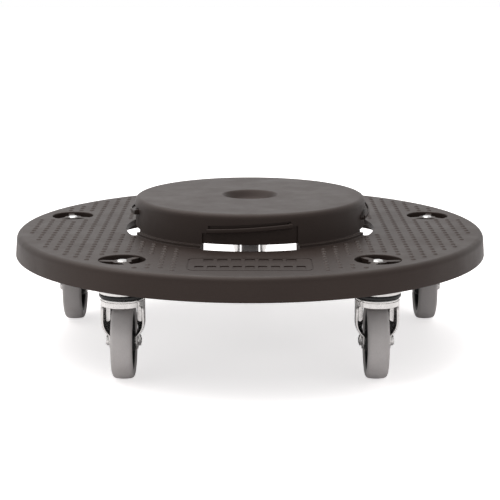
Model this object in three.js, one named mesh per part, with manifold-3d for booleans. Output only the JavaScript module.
// Round twist-lock container dolly on five swivel casters, in millimetres with +Z up.
// The origin is on the floor under the middle of the deck, and the front of the dolly faces -Y.
import * as THREE from 'three';
import { mergeVertices } from 'three/addons/utils/BufferGeometryUtils.js';
import Module from 'manifold-3d';

const wasm = await Module();
wasm.setup();

// ---------------------------------------------------------------- driving dimensions
const GAP = 0.3; // kept between pieces that touch

// moulded deck
const DECK_RADIUS = 231.8; // outside of the skirt's lower edge, 18.25 in across
const SKIRT_FLARE = 1.2; // how much further out the skirt is at its foot than under the rim's round
const RIM_ROUND = 6;
const DECK_TOP_Z = 111;
const SKIRT_BOTTOM_Z = 89;
const WALL = 4;
const DECK_SEGMENTS = 48;

// raised disc in the middle of the deck
const DISC_TOP_Z = 143.5;
const DISC_RADIUS = 114.2; // at the top of its wall
const DISC_DRAFT = 1.4; // how much further out the wall is where it meets the deck
const STEP_RADIUS = 118.8; // low step round the foot of the wall
const STEP_TOP_Z = 113.9;
const DISC_ROUND = 5.5;
const DIMPLE_RADIUS = 28;
const DIMPLE_FLOOR_RADIUS = 19;
const DIMPLE_DEPTH = 8.5;
const DIMPLE_CENTRE_RISE = 2.5; // low dome in the middle of the dish

// ribs under the deck and inside the disc
const RIB_THICKNESS = 2.6;
const RIB_RINGS = [162, 198]; // mean radii
const RADIAL_RIBS = 15;
const INNER_RIB_RADIUS = 126; // where the radial ribs start, except in front of the side slots
const SIDE_CLEAR_DEG = 40; // no rib inside the first ring this close to the left and right
const SLOT_RIM_BOTTOM_Z = 105.5; // shallow rib along the outer edge of the slots
const DISC_RIB_RING = 62;
const DISC_RADIAL_RIBS = 6;
const DISC_RIB_DEPTH = 12;

// four twist-lock lugs, each a ramp that rises counter-clockwise over a slot
const LUGS = 4;
const SLOT_HALF_DEG = 22.7;
const SLOT_INNER_RADIUS = 104.5; // under the disc's wall
const SLOT_OUTER_RADIUS = 123.2;
const SLOT_TOP_Z = 115.1; // lower edge of the disc's wall over the slot
const WALL_RIB_GAP_DEG = 25.5; // half of the gap in the wall's rib at a slot
const POCKET_RADIUS = 113.7; // shallow recess in the wall under the lug
const POCKET_LOW_Z = 124.7; // its top at the entry end
const POCKET_HIGH_Z = 131.5; // its top at the stop end
const LUG_START_DEG = -19.7;
const LUG_END_DEG = 19.3;
const LUG_LOW_Z = 125; // underside at the entry end
const LUG_HIGH_Z = 130; // underside at the stop end
const LUG_RADIUS = 118.7;
const LUG_THICKNESS = 2.2;
const LUG_EDGE = 1.2; // bevel along its lower edge
const LIP_HEIGHT = 4.3; // from the underside to the top of the turned-up lip
const LIP_THICKNESS = 1.6;
const LUG_STOP_DEG = 1.2; // thickness of the stop at the high end
const CHANNEL_RADIUS = 113; // wall behind the lip, sunk into the disc's wall
const CHANNEL_LOW_Z = 131.5;
const CHANNEL_HIGH_Z = 136;

// caster wells
const CASTER_CIRCLE_RADIUS = 194;
const WELL_RADIUS = 21;
const WELL_WALL = 3;
const WELL_BOTTOM_Z = 85;
const WEB_TOP_Z = 109.4;
const WEB_THICKNESS = 6;
const WEBS_PER_WELL = 3;
const SOCKET_RADIUS = 8.5;

// caster
const WHEEL_RADIUS = 35;
const TRAIL = 6; // swivel axis to axle
const TREAD_WIDTH = 19.6;
const TYRE_INNER_RADIUS = 26;
const TYRE_SHOULDER = 3.6;
const HUB_HALF_WIDTH = 9.9;
const STEM_RADIUS = 4.8;
const STEM_TOP_Z = 110.6;
const STEM_HEAD_RADIUS = 8;
const STEM_HEAD_BOTTOM_Z = 72;
const STEM_HEAD_TOP_Z = 74.4;
const STEM_GROOVE_Z = 100; // middle of the groove for the grip ring
const STEM_GROOVE_HEIGHT = 4;
const STEM_GROOVE_RADIUS = 3.6;
const CROWN_RADIUS = 20;
const CROWN_BOTTOM_Z = 70;
const CROWN_TOP_Z = 77.5;
const SHEET = 2.3; // steel of the fork
const SLIT_WIDTH = 2;
const SLIT_DEG = 41; // from the front of the crown round to the relief slit
const LEG_INNER_X = 10.5; // at the axle
const LEG_END_RADIUS = 8;
const LEG_FRONT_Y = -6.2; // at the crown
const LEG_REAR_Y = 15.5;
const LEG_BEND_LOW_Z = 40.3; // the legs curve in to the hub between these heights
const LEG_BEND_HIGH_Z = 57;
const LEG_BEND_POWER = 2.6;
const LEG_LEVELS_Z = [27, 30, 35, 40.3, 43.5, 47.5, 52, 57, 73]; // where a leg's faces break
const REAR_TAB_BOTTOM_Z = 53;
const REAR_TAB_CLEAR_X = 11.4; // half the gap cut for the tyre
const REAR_TAB_START_DEG = 26;
const DUST_RING_RADIUS = 21.2;
const DUST_RING_BOTTOM_Z = 77.9;
const DUST_RING_TOP_Z = 81;
const TOP_PLATE_RADIUS = 21.6;
const TOP_PLATE_BOTTOM_Z = 81.4;
const TOP_PLATE_TOP_Z = WELL_BOTTOM_Z - GAP;
const RACE_RADIUS = 13;
const BALL_RADIUS = 1.6;
const BALLS = 6;
const AXLE_RADIUS = 3;
const BOLT_HEAD_HALF_SPAN = 16.4; // from the middle of the wheel to the outside of the head or nut
const BOLT_HEAD_RADIUS = 4.9;
const NUT_RADIUS = 5.2; // to its corners
const BUSH_RADIUS = 5;

// caster name, direction from the middle of the deck, side its nut is on, and side its wheel trails to
const CASTERS = [
  { name: 'front_left', azimuth: -126, nutSide: 1, trailSide: 1 },
  { name: 'front_right', azimuth: -54, nutSide: -1, trailSide: 1 },
  { name: 'rear_right', azimuth: 18, nutSide: -1, trailSide: 1 },
  { name: 'rear', azimuth: 90, nutSide: 1, trailSide: -1 },
  { name: 'rear_left', azimuth: 162, nutSide: 1, trailSide: 1 },
];

// ---------------------------------------------------------------- finishes
const finishes = {
  deck: { color: '#4a4340', roughness: 0.55, metalness: 0 },
  steel: { color: '#b9b6b2', roughness: 0.3, metalness: 1 },
  seal: { color: '#141312', roughness: 0.6, metalness: 0 },
  brass: { color: '#8d8a84', roughness: 0.35, metalness: 1 },
  hub: { color: '#26242a', roughness: 0.6, metalness: 0 },
  tyre: { color: '#8c8784', roughness: 0.7, metalness: 0 },
};

// ---------------------------------------------------------------- shape helpers
const radians = THREE.MathUtils.degToRad;
const lerp = THREE.MathUtils.lerp;

function signedVolume(positions, triangles) {
  const corner = [new THREE.Vector3(), new THREE.Vector3(), new THREE.Vector3()];
  let total = 0;
  for (let t = 0; t < triangles.length; t += 3) {
    corner.forEach((point, k) => point.fromArray(positions, 3 * triangles[t + k]));
    total += corner[0].dot(corner[1].clone().cross(corner[2]));
  }
  return total;
}

// A three.js geometry as a solid that can be joined and cut.
function solid(geometry) {
  const bare = geometry.clone();
  bare.deleteAttribute('normal');
  bare.deleteAttribute('uv');
  const merged = mergeVertices(bare);
  const positions = merged.attributes.position.array;
  const triangles = [];
  for (let t = 0; t < merged.index.count; t += 3) {
    const [a, b, c] = [0, 1, 2].map((k) => merged.index.array[t + k]);
    if (a !== b && b !== c && c !== a) {
      triangles.push(a, b, c);
    }
  }
  if (signedVolume(positions, triangles) < 0) {
    triangles.reverse();
  }
  const mesh = new wasm.Mesh({
    numProp: 3,
    vertProperties: new Float32Array(positions),
    triVerts: new Uint32Array(triangles),
  });
  return new wasm.Manifold(mesh);
}

function geometryOf(body) {
  const mesh = body.getMesh();
  const geometry = new THREE.BufferGeometry();
  const positions = new Float32Array(mesh.vertProperties);
  geometry.setAttribute('position', new THREE.BufferAttribute(positions, 3));
  geometry.setIndex(new THREE.BufferAttribute(new Uint32Array(mesh.triVerts), 1));
  geometry.computeVertexNormals();
  return geometry;
}

const joined = (bodies) => bodies.reduce((whole, body) => whole.add(body));
const cutBy = (body, cutters) => cutters.reduce((whole, cutter) => whole.subtract(cutter), body);

// A profile of [radius, height] points turned about the Z axis. One that starts off the axis is a ring.
function turned(profile, segments) {
  const points = profile.map(([r, z]) => new THREE.Vector2(r, z));
  const isRing = profile[0][0] > 0;
  if (isRing) {
    points.push(points[0].clone());
  }
  return new THREE.LatheGeometry(points, segments).rotateX(Math.PI / 2);
}

// The same, turned about the X axis, with the profile as [radius, x].
const turnedAboutX = (profile, segments) => turned(profile, segments).rotateY(Math.PI / 2);

const ring = (inner, outer, low, high, segments) =>
  turned([[inner, low], [outer, low], [outer, high], [inner, high]], segments);

const rod = (radius, low, high, segments) =>
  turned([[0, low], [radius, low], [radius, high], [0, high]], segments);

// Points on a quarter round that starts along one side of a corner and ends along the other.
function roundCorner(centreR, centreZ, radius, fromDeg, toDeg, steps) {
  return Array.from({ length: steps + 1 }, (_, k) => {
    const angle = radians(lerp(fromDeg, toDeg, k / steps));
    return [centreR + radius * Math.cos(angle), centreZ + radius * Math.sin(angle)];
  });
}

// A section of [radius, height] points, given for 0 to 1 of the way, carried round the Z axis.
function arcSweep(sectionAt, startDeg, endDeg, steps) {
  const count = sectionAt(0).length;
  const positions = [];
  const triangles = [];
  for (let i = 0; i <= steps; i += 1) {
    const angle = radians(lerp(startDeg, endDeg, i / steps));
    for (const [r, z] of sectionAt(i / steps)) {
      positions.push(r * Math.cos(angle), r * Math.sin(angle), z);
    }
  }
  for (let i = 0; i < steps; i += 1) {
    for (let j = 0; j < count; j += 1) {
      const next = (j + 1) % count;
      const [a, b] = [i * count + j, i * count + next];
      triangles.push(b, a, a + count, b, a + count, b + count);
    }
  }
  const outline = sectionAt(0).map(([r, z]) => new THREE.Vector2(r, z));
  for (const [a, b, c] of THREE.ShapeUtils.triangulateShape(outline, [])) {
    const last = steps * count;
    const isAnticlockwise = THREE.ShapeUtils.area([outline[a], outline[b], outline[c]]) > 0;
    const [p, q] = isAnticlockwise ? [b, c] : [c, b];
    triangles.push(a, p, q, a + last, q + last, p + last);
  }
  const geometry = new THREE.BufferGeometry();
  geometry.setAttribute('position', new THREE.Float32BufferAttribute(positions, 3));
  geometry.setIndex(triangles);
  return geometry;
}

// A block of constant section between two radii and two heights.
function sector(inner, outer, low, high, startDeg, endDeg, steps) {
  const section = [[inner, low], [outer, low], [outer, high], [inner, high]];
  return arcSweep(() => section, startDeg, endDeg, steps);
}

// A curved plate: pointAt(row, column, side) gives its two faces, side 0 inside and 1 outside.
function plate(rows, columns, pointAt) {
  const positions = [];
  const index = (i, j, side) => (i * (columns + 1) + j) * 2 + side;
  for (let i = 0; i <= rows; i += 1) {
    for (let j = 0; j <= columns; j += 1) {
      for (const side of [0, 1]) {
        positions.push(...pointAt(i / rows, j / columns, side));
      }
    }
  }
  const triangles = [];
  const quad = (a, b, c, d) => triangles.push(a, b, c, a, c, d);
  for (let i = 0; i < rows; i += 1) {
    for (let j = 0; j < columns; j += 1) {
      quad(index(i, j, 1), index(i, j + 1, 1), index(i + 1, j + 1, 1), index(i + 1, j, 1));
      quad(index(i, j, 0), index(i + 1, j, 0), index(i + 1, j + 1, 0), index(i, j + 1, 0));
    }
    quad(index(i, 0, 1), index(i + 1, 0, 1), index(i + 1, 0, 0), index(i, 0, 0));
    const last = columns;
    quad(index(i, last, 0), index(i + 1, last, 0), index(i + 1, last, 1), index(i, last, 1));
  }
  for (let j = 0; j < columns; j += 1) {
    quad(index(0, j, 0), index(0, j + 1, 0), index(0, j + 1, 1), index(0, j, 1));
    quad(index(rows, j, 1), index(rows, j + 1, 1), index(rows, j + 1, 0), index(rows, j, 0));
  }
  const geometry = new THREE.BufferGeometry();
  geometry.setAttribute('position', new THREE.Float32BufferAttribute(positions, 3));
  geometry.setIndex(triangles);
  return geometry;
}

const rollerAlongX = (radius, low, high, segments) =>
  rod(radius, low, high, segments).rotateY(Math.PI / 2);

// ---------------------------------------------------------------- moulded deck
const PLATE_UNDERSIDE_Z = DECK_TOP_Z - WALL;
const DISC_UNDERSIDE_Z = DISC_TOP_Z - WALL;
const DISC_BASE_RADIUS = DISC_RADIUS + DISC_DRAFT;
const rimRadius = DECK_RADIUS - SKIRT_FLARE;

function dimple(rimZ) {
  const floorZ = rimZ - DIMPLE_DEPTH;
  return [
    [0, floorZ + DIMPLE_CENTRE_RISE],
    [DIMPLE_FLOOR_RADIUS * 0.3, floorZ + DIMPLE_CENTRE_RISE],
    [DIMPLE_FLOOR_RADIUS * 0.6, floorZ],
    [DIMPLE_FLOOR_RADIUS, floorZ],
    [DIMPLE_RADIUS, rimZ],
  ];
}

function deckShell() {
  const top = [
    ...dimple(DISC_TOP_Z),
    ...roundCorner(DISC_RADIUS - DISC_ROUND, DISC_TOP_Z - DISC_ROUND, DISC_ROUND, 90, 0, 2),
    [DISC_BASE_RADIUS, STEP_TOP_Z],
    [STEP_RADIUS, STEP_TOP_Z],
    [STEP_RADIUS, DECK_TOP_Z],
    ...roundCorner(rimRadius - RIM_ROUND, DECK_TOP_Z - RIM_ROUND, RIM_ROUND, 90, 0, 2),
    [DECK_RADIUS, SKIRT_BOTTOM_Z],
  ];
  const underside = [
    [DECK_RADIUS - WALL, SKIRT_BOTTOM_Z],
    [rimRadius - WALL, PLATE_UNDERSIDE_Z],
    [DISC_BASE_RADIUS - WALL, PLATE_UNDERSIDE_Z],
    [DISC_RADIUS - WALL, DISC_UNDERSIDE_Z],
    ...dimple(DISC_UNDERSIDE_Z).reverse(),
  ];
  return solid(turned([...top, ...underside], DECK_SEGMENTS));
}

function ribRing(meanRadius, low, high) {
  const half = RIB_THICKNESS / 2;
  return solid(ring(meanRadius - half, meanRadius + half, low, high, DECK_SEGMENTS));
}

function radialRib(azimuth, inner, outer, low, high) {
  const box = new THREE.BoxGeometry(outer - inner, RIB_THICKNESS, high - low);
  box.translate((inner + outer) / 2, 0, (low + high) / 2);
  return solid(box.rotateZ(radians(azimuth)));
}

// how far a direction is from the nearer of left and right, in degrees
function offSide(azimuth) {
  const turns = azimuth / 180;
  return 180 * Math.abs(turns - Math.round(turns));
}

function undersideRibs() {
  const topZ = PLATE_UNDERSIDE_Z + 1;
  const outer = DECK_RADIUS - WALL + 0.8;
  const rings = RIB_RINGS.map((radius) => ribRing(radius, SKIRT_BOTTOM_Z, topZ));
  const radials = Array.from({ length: RADIAL_RIBS }, (_, k) => {
    const azimuth = (360 * k) / RADIAL_RIBS - 90;
    const inner = offSide(azimuth) < SIDE_CLEAR_DEG ? RIB_RINGS[0] : INNER_RIB_RADIUS;
    return radialRib(azimuth, inner, outer, SKIRT_BOTTOM_Z + 1, topZ);
  });
  const wallRib = ring(DISC_BASE_RADIUS - WALL, DISC_BASE_RADIUS - 1, SKIRT_BOTTOM_Z, topZ, DECK_SEGMENTS);
  const rimInner = SLOT_OUTER_RADIUS - 0.5;
  const slotRim = ring(rimInner, SLOT_OUTER_RADIUS + RIB_THICKNESS, SLOT_RIM_BOTTOM_Z, topZ, DECK_SEGMENTS);
  return joined([...rings, ...radials, solid(wallRib), solid(slotRim)]);
}

function discRibs() {
  const topZ = DISC_UNDERSIDE_Z + 1;
  const lowZ = DISC_UNDERSIDE_Z - DISC_RIB_DEPTH;
  const radials = Array.from({ length: DISC_RADIAL_RIBS }, (_, k) => {
    const azimuth = (360 * (k + 0.5)) / DISC_RADIAL_RIBS;
    return radialRib(azimuth, DISC_RIB_RING, DISC_RADIUS - 2, lowZ + 1, topZ);
  });
  return joined([ribRing(DISC_RIB_RING, lowZ, topZ), ...radials]);
}

const lugCentre = (k) => (360 * k) / LUGS - 90;
const lugUnderside = (way) => lerp(LUG_LOW_Z, LUG_HIGH_Z, way);
const LUG_STEPS = 6;

// slot through the deck and under the disc's wall, with the shallow recess above it up to the ramp
function pocketCut(centre) {
  const [start, end] = [centre - SLOT_HALF_DEG, centre + SLOT_HALF_DEG];
  const bottom = SKIRT_BOTTOM_Z - 5;
  const slot = sector(SLOT_INNER_RADIUS, SLOT_OUTER_RADIUS, bottom, SLOT_TOP_Z, start, end, LUG_STEPS);
  const section = (way) => {
    const top = lerp(POCKET_LOW_Z, POCKET_HIGH_Z, way);
    return [
      [POCKET_RADIUS, bottom],
      [SLOT_OUTER_RADIUS, bottom],
      [SLOT_OUTER_RADIUS, top],
      [POCKET_RADIUS, top],
    ];
  };
  const ribGap = sector(SLOT_INNER_RADIUS, DISC_BASE_RADIUS, bottom, PLATE_UNDERSIDE_Z,
    centre - WALL_RIB_GAP_DEG, centre + WALL_RIB_GAP_DEG, LUG_STEPS);
  return joined([solid(slot), solid(ribGap), solid(arcSweep(section, start, end, LUG_STEPS))]);
}

function channelCut(centre) {
  const section = (way) => {
    const low = lugUnderside(way) + LUG_THICKNESS;
    const high = lerp(CHANNEL_LOW_Z, CHANNEL_HIGH_Z, way);
    return [
      [CHANNEL_RADIUS, low],
      [SLOT_OUTER_RADIUS, low],
      [SLOT_OUTER_RADIUS, high],
      [CHANNEL_RADIUS, high],
    ];
  };
  return solid(arcSweep(section, centre + LUG_START_DEG, centre + LUG_END_DEG, LUG_STEPS));
}

// ramp with a turned-up lip, closed by a stop at its high end
function lug(centre) {
  const [start, end] = [centre + LUG_START_DEG, centre + LUG_END_DEG];
  const root = CHANNEL_RADIUS - 1;
  const lipInner = LUG_RADIUS - LIP_THICKNESS;
  const section = (way) => {
    const low = lugUnderside(way);
    return [
      [root, low],
      [LUG_RADIUS - LUG_EDGE, low],
      [LUG_RADIUS, low + LUG_EDGE],
      [LUG_RADIUS, low + LIP_HEIGHT],
      [lipInner, low + LIP_HEIGHT],
      [lipInner, low + LUG_THICKNESS],
      [root, low + LUG_THICKNESS],
    ];
  };
  const stopTopZ = LUG_HIGH_Z + LIP_HEIGHT;
  const stop = sector(root, LUG_RADIUS - 1, LUG_HIGH_Z, stopTopZ, end - LUG_STOP_DEG, end, 1);
  return solid(arcSweep(section, start, end, LUG_STEPS)).add(solid(stop));
}

// Moves something made about the Z axis to a caster's place, turned so that its +X side points outwards.
function atWell(geometry, azimuth) {
  const angle = radians(azimuth);
  geometry.rotateZ(angle);
  const [x, y] = [Math.cos(angle), Math.sin(angle)];
  return geometry.translate(CASTER_CIRCLE_RADIUS * x, CASTER_CIRCLE_RADIUS * y, 0);
}

const WELL_SEGMENTS = 18;

function wellBoss({ azimuth }) {
  const boss = rod(WELL_RADIUS + WELL_WALL, WELL_BOTTOM_Z, PLATE_UNDERSIDE_Z + 1, WELL_SEGMENTS);
  return solid(atWell(boss, azimuth));
}

function wellCut({ azimuth }) {
  const hole = rod(WELL_RADIUS, WELL_BOTTOM_Z - 5, DECK_TOP_Z + 5, WELL_SEGMENTS);
  return solid(atWell(hole, azimuth));
}

// stem socket held by three webs, one of which points at the middle of the deck
function wellWebs({ azimuth }) {
  const height = WEB_TOP_Z - WELL_BOTTOM_Z;
  const webs = Array.from({ length: WEBS_PER_WELL }, (_, k) => {
    const web = new THREE.BoxGeometry(WELL_RADIUS + 1, WEB_THICKNESS, height);
    web.translate((WELL_RADIUS + 1) / 2, 0, WELL_BOTTOM_Z + height / 2);
    web.rotateZ(radians(180 + (360 * k) / WEBS_PER_WELL));
    return solid(atWell(web, azimuth));
  });
  const socket = rod(SOCKET_RADIUS, WELL_BOTTOM_Z, WEB_TOP_Z, 12);
  return joined([...webs, solid(atWell(socket, azimuth))]);
}

function socketBore({ azimuth }) {
  const bore = rod(STEM_RADIUS + GAP, WELL_BOTTOM_Z - 5, DECK_TOP_Z + 5, 12);
  const half = STEM_GROOVE_HEIGHT / 2 + 1;
  const ringRoom = rod(STEM_RADIUS + 1.2, STEM_GROOVE_Z - half, STEM_GROOVE_Z + half, 12);
  return solid(atWell(bore, azimuth)).add(solid(atWell(ringRoom, azimuth)));
}

function deck() {
  const centres = Array.from({ length: LUGS }, (_, k) => lugCentre(k));
  const blank = joined([deckShell(), undersideRibs(), discRibs(), ...CASTERS.map(wellBoss)]);
  const cutters = [...centres.map(pocketCut), ...centres.map(channelCut), ...CASTERS.map(wellCut)];
  const fitted = joined([cutBy(blank, cutters), ...centres.map(lug), ...CASTERS.map(wellWebs)]);
  return cutBy(fitted, CASTERS.map(socketBore));
}

// ---------------------------------------------------------------- caster pieces
// Each is made with the swivel axis on Z, the axle along X and the wheel trailing towards +Y.
const CASTER_SEGMENTS = 18;

function stem() {
  const grooveLow = STEM_GROOVE_Z - STEM_GROOVE_HEIGHT / 2;
  const grooveHigh = STEM_GROOVE_Z + STEM_GROOVE_HEIGHT / 2;
  return turned([
    [0, STEM_HEAD_BOTTOM_Z],
    [STEM_HEAD_RADIUS, STEM_HEAD_BOTTOM_Z],
    [STEM_HEAD_RADIUS, STEM_HEAD_TOP_Z],
    [STEM_RADIUS, STEM_HEAD_TOP_Z],
    [STEM_RADIUS, grooveLow],
    [STEM_GROOVE_RADIUS, grooveLow],
    [STEM_GROOVE_RADIUS, grooveHigh],
    [STEM_RADIUS, grooveHigh],
    [STEM_RADIUS, STEM_TOP_Z - 1],
    [STEM_RADIUS - 1, STEM_TOP_Z],
    [0, STEM_TOP_Z],
  ], 12);
}

// split spring ring in the stem's groove, open for 30 degrees
function gripRing() {
  const half = STEM_GROOVE_HEIGHT / 2 - GAP;
  const inner = STEM_GROOVE_RADIUS + GAP;
  return sector(inner, STEM_RADIUS + 0.8, STEM_GROOVE_Z - half, STEM_GROOVE_Z + half, 15, 345, 12);
}

function topPlate() {
  return turned([
    [STEM_RADIUS + GAP, TOP_PLATE_BOTTOM_Z],
    [RACE_RADIUS - 2, TOP_PLATE_BOTTOM_Z],
    [RACE_RADIUS, TOP_PLATE_BOTTOM_Z + 0.8],
    [RACE_RADIUS + 2, TOP_PLATE_BOTTOM_Z],
    [TOP_PLATE_RADIUS, TOP_PLATE_BOTTOM_Z],
    [TOP_PLATE_RADIUS, TOP_PLATE_TOP_Z],
    [STEM_RADIUS + GAP, TOP_PLATE_TOP_Z],
  ], CASTER_SEGMENTS);
}

function ballCage() {
  const middleZ = (CROWN_TOP_Z + TOP_PLATE_BOTTOM_Z) / 2;
  const cage = solid(ring(RACE_RADIUS - 2.4, RACE_RADIUS + 2.4, middleZ - 0.6, middleZ + 0.6, BALLS));
  const balls = Array.from({ length: BALLS }, (_, k) => {
    const ball = new THREE.OctahedronGeometry(BALL_RADIUS).translate(RACE_RADIUS, 0, middleZ);
    return solid(ball.rotateZ((2 * Math.PI * (k + 0.5)) / BALLS));
  });
  return geometryOf(joined([cage, ...balls]));
}

const dustRing = () =>
  ring(DUST_RING_RADIUS - 3.6, DUST_RING_RADIUS, DUST_RING_BOTTOM_Z, DUST_RING_TOP_Z, CASTER_SEGMENTS);

// how far out the outside of a leg is at a height: straight below the crown, then curved in to the hub
function legReach(z) {
  const way = (LEG_BEND_HIGH_Z - z) / (LEG_BEND_HIGH_Z - LEG_BEND_LOW_Z);
  const drawnIn = THREE.MathUtils.clamp(way, 0, 1) ** LEG_BEND_POWER;
  return lerp(CROWN_RADIUS, LEG_INNER_X + SHEET, drawnIn);
}

// front and rear edge of a leg at a height: a strap above, round the axle below
function legEdges(z) {
  const axleZ = WHEEL_RADIUS;
  if (z < axleZ) {
    const half = Math.sqrt(Math.max(LEG_END_RADIUS ** 2 - (axleZ - z) ** 2, 1));
    return [TRAIL - half, TRAIL + half];
  }
  const way = (z - axleZ) / (CROWN_BOTTOM_Z - axleZ);
  return [
    lerp(TRAIL - LEG_END_RADIUS, LEG_FRONT_Y, way),
    lerp(TRAIL + LEG_END_RADIUS, LEG_REAR_Y, way),
  ];
}

function leg(side) {
  const rows = LEG_LEVELS_Z.length - 1;
  return plate(rows, 2, (up, across, face) => {
    const z = LEG_LEVELS_Z[Math.round(up * rows)];
    const [front, rear] = legEdges(Math.min(z, CROWN_BOTTOM_Z));
    const y = lerp(front, rear, across);
    const roundness = THREE.MathUtils.smoothstep(z, LEG_BEND_LOW_Z, LEG_BEND_HIGH_Z);
    const outside = CROWN_RADIUS - (1 - face) * SHEET;
    const bulge = Math.sqrt(outside ** 2 - y ** 2) - outside;
    return [side * (legReach(z) - (1 - face) * SHEET + roundness * bulge), y, z];
  });
}

function crown() {
  const inner = CROWN_RADIUS - SHEET;
  return turned([
    [STEM_RADIUS + GAP, CROWN_TOP_Z - SHEET],
    [inner, CROWN_TOP_Z - SHEET],
    [inner, CROWN_BOTTOM_Z],
    [CROWN_RADIUS, CROWN_BOTTOM_Z],
    [CROWN_RADIUS, CROWN_TOP_Z - 1.6],
    [CROWN_RADIUS - 1.6, CROWN_TOP_Z],
    [STEM_RADIUS + GAP, CROWN_TOP_Z],
  ], CASTER_SEGMENTS);
}

// crown carried down behind the legs, on both sides of the tyre
function rearTabs() {
  const [inner, outer] = [CROWN_RADIUS - SHEET, CROWN_RADIUS - 0.1];
  const [start, end] = [REAR_TAB_START_DEG, 180 - REAR_TAB_START_DEG];
  return sector(inner, outer, REAR_TAB_BOTTOM_Z, CROWN_BOTTOM_Z + 2, start, end, 10);
}

function fork(nutSide) {
  const pressed = joined([solid(crown()), solid(rearTabs()), solid(leg(-1)), solid(leg(1))]);
  const roomHeight = CROWN_BOTTOM_Z - REAR_TAB_BOTTOM_Z + 10;
  const tyreRoom = new THREE.BoxGeometry(2 * REAR_TAB_CLEAR_X, 30, roomHeight);
  tyreRoom.translate(0, 20, CROWN_BOTTOM_Z - roomHeight / 2);
  const slitBottomZ = CROWN_BOTTOM_Z - 2;
  const slitHeight = CROWN_TOP_Z - SHEET - slitBottomZ;
  const slit = new THREE.BoxGeometry(8, SLIT_WIDTH, slitHeight);
  slit.translate(CROWN_RADIUS, 0, slitBottomZ + slitHeight / 2);
  slit.rotateZ(radians(-90 + nutSide * SLIT_DEG));
  const axleHole = rollerAlongX(AXLE_RADIUS + GAP, -30, 30, 12).translate(0, TRAIL, WHEEL_RADIUS);
  return geometryOf(cutBy(pressed, [solid(tyreRoom), solid(slit), solid(axleHole)]));
}

const legOutsideX = LEG_INNER_X + SHEET;
const headInnerX = legOutsideX + 2 * GAP;

// round-headed bolt, with its shank out through the nut
function axleBolt(nutSide) {
  const tip = BOLT_HEAD_HALF_SPAN - 0.4;
  const bolt = turnedAboutX([
    [0, -tip],
    [AXLE_RADIUS - 0.6, -tip],
    [AXLE_RADIUS, -tip + 0.6],
    [AXLE_RADIUS, headInnerX],
    [BOLT_HEAD_RADIUS, headInnerX],
    [BOLT_HEAD_RADIUS - 0.2, BOLT_HEAD_HALF_SPAN - 1],
    [BOLT_HEAD_RADIUS - 1.6, BOLT_HEAD_HALF_SPAN],
    [0, BOLT_HEAD_HALF_SPAN],
  ], 12);
  return bolt.rotateZ(nutSide > 0 ? Math.PI : 0).translate(0, TRAIL, WHEEL_RADIUS);
}

function axleNut(nutSide) {
  const hexagon = rod(NUT_RADIUS, headInnerX, BOLT_HEAD_HALF_SPAN - 1, 6);
  const bore = rod(AXLE_RADIUS + GAP, 0, BOLT_HEAD_HALF_SPAN, 12);
  const nut = geometryOf(solid(hexagon).subtract(solid(bore)));
  return nut.rotateY((nutSide * Math.PI) / 2).translate(0, TRAIL, WHEEL_RADIUS);
}

function axleBush() {
  const half = LEG_INNER_X - GAP;
  const sleeve = ring(AXLE_RADIUS + GAP, BUSH_RADIUS, -half, half, 12).rotateY(Math.PI / 2);
  return sleeve.translate(0, TRAIL, WHEEL_RADIUS);
}

function hub() {
  const bore = BUSH_RADIUS + GAP;
  const bossRadius = 11;
  const rimInner = 21.5;
  const rimOuter = TYRE_INNER_RADIUS - GAP;
  const webHalf = 2.4;
  const rimHalf = TREAD_WIDTH / 2 - 1.6;
  const wheel = turnedAboutX([
    [bore, -HUB_HALF_WIDTH],
    [bossRadius, -HUB_HALF_WIDTH],
    [bossRadius + 0.5, -webHalf],
    [rimInner - 0.5, -webHalf],
    [rimInner, -rimHalf],
    [rimOuter, -rimHalf],
    [rimOuter, rimHalf],
    [rimInner, rimHalf],
    [rimInner - 0.5, webHalf],
    [bossRadius + 0.5, webHalf],
    [bossRadius, HUB_HALF_WIDTH],
    [bore, HUB_HALF_WIDTH],
  ], CASTER_SEGMENTS);
  return wheel.translate(0, TRAIL, WHEEL_RADIUS);
}

function tyre() {
  const half = TREAD_WIDTH / 2;
  const shoulderR = WHEEL_RADIUS - 0.5 - TYRE_SHOULDER;
  const right = roundCorner(shoulderR, half - TYRE_SHOULDER, TYRE_SHOULDER, 0, 90, 1);
  const left = right.map(([r, x]) => [r, -x]).reverse();
  const profile = [
    [TYRE_INNER_RADIUS, 1 - half],
    ...left,
    [WHEEL_RADIUS, 0],
    ...right,
    [TYRE_INNER_RADIUS, half - 1],
  ];
  return turnedAboutX(profile, 32).translate(0, TRAIL, WHEEL_RADIUS);
}

// ---------------------------------------------------------------- assembly
const dolly = new THREE.Group();

function addPiece(parent, name, geometry, finish) {
  const mesh = new THREE.Mesh(geometry, new THREE.MeshStandardMaterial(finishes[finish]));
  mesh.name = name;
  parent.add(mesh);
}

function addCaster({ name, azimuth, nutSide, trailSide }) {
  const angle = radians(azimuth);
  const place = new THREE.Group();
  place.position.set(Math.cos(angle), Math.sin(angle), 0).multiplyScalar(CASTER_CIRCLE_RADIUS);
  place.rotation.z = trailSide > 0 ? 0 : Math.PI;
  const pieces = [
    ['stem', stem(), 'steel'],
    ['grip_ring', gripRing(), 'steel'],
    ['top_plate', topPlate(), 'steel'],
    ['ball_cage', ballCage(), 'brass'],
    ['dust_ring', dustRing(), 'seal'],
    ['fork', fork(nutSide), 'steel'],
    ['axle_bolt', axleBolt(nutSide), 'steel'],
    ['axle_nut', axleNut(nutSide), 'steel'],
    ['axle_bush', axleBush(), 'brass'],
    ['hub', hub(), 'hub'],
    ['tyre', tyre(), 'tyre'],
  ];
  for (const [piece, geometry, finish] of pieces) {
    addPiece(place, `${name}_${piece}`, geometry, finish);
  }
  dolly.add(place);
}

addPiece(dolly, 'deck', geometryOf(deck()), 'deck');
CASTERS.forEach(addCaster);

export default dolly;
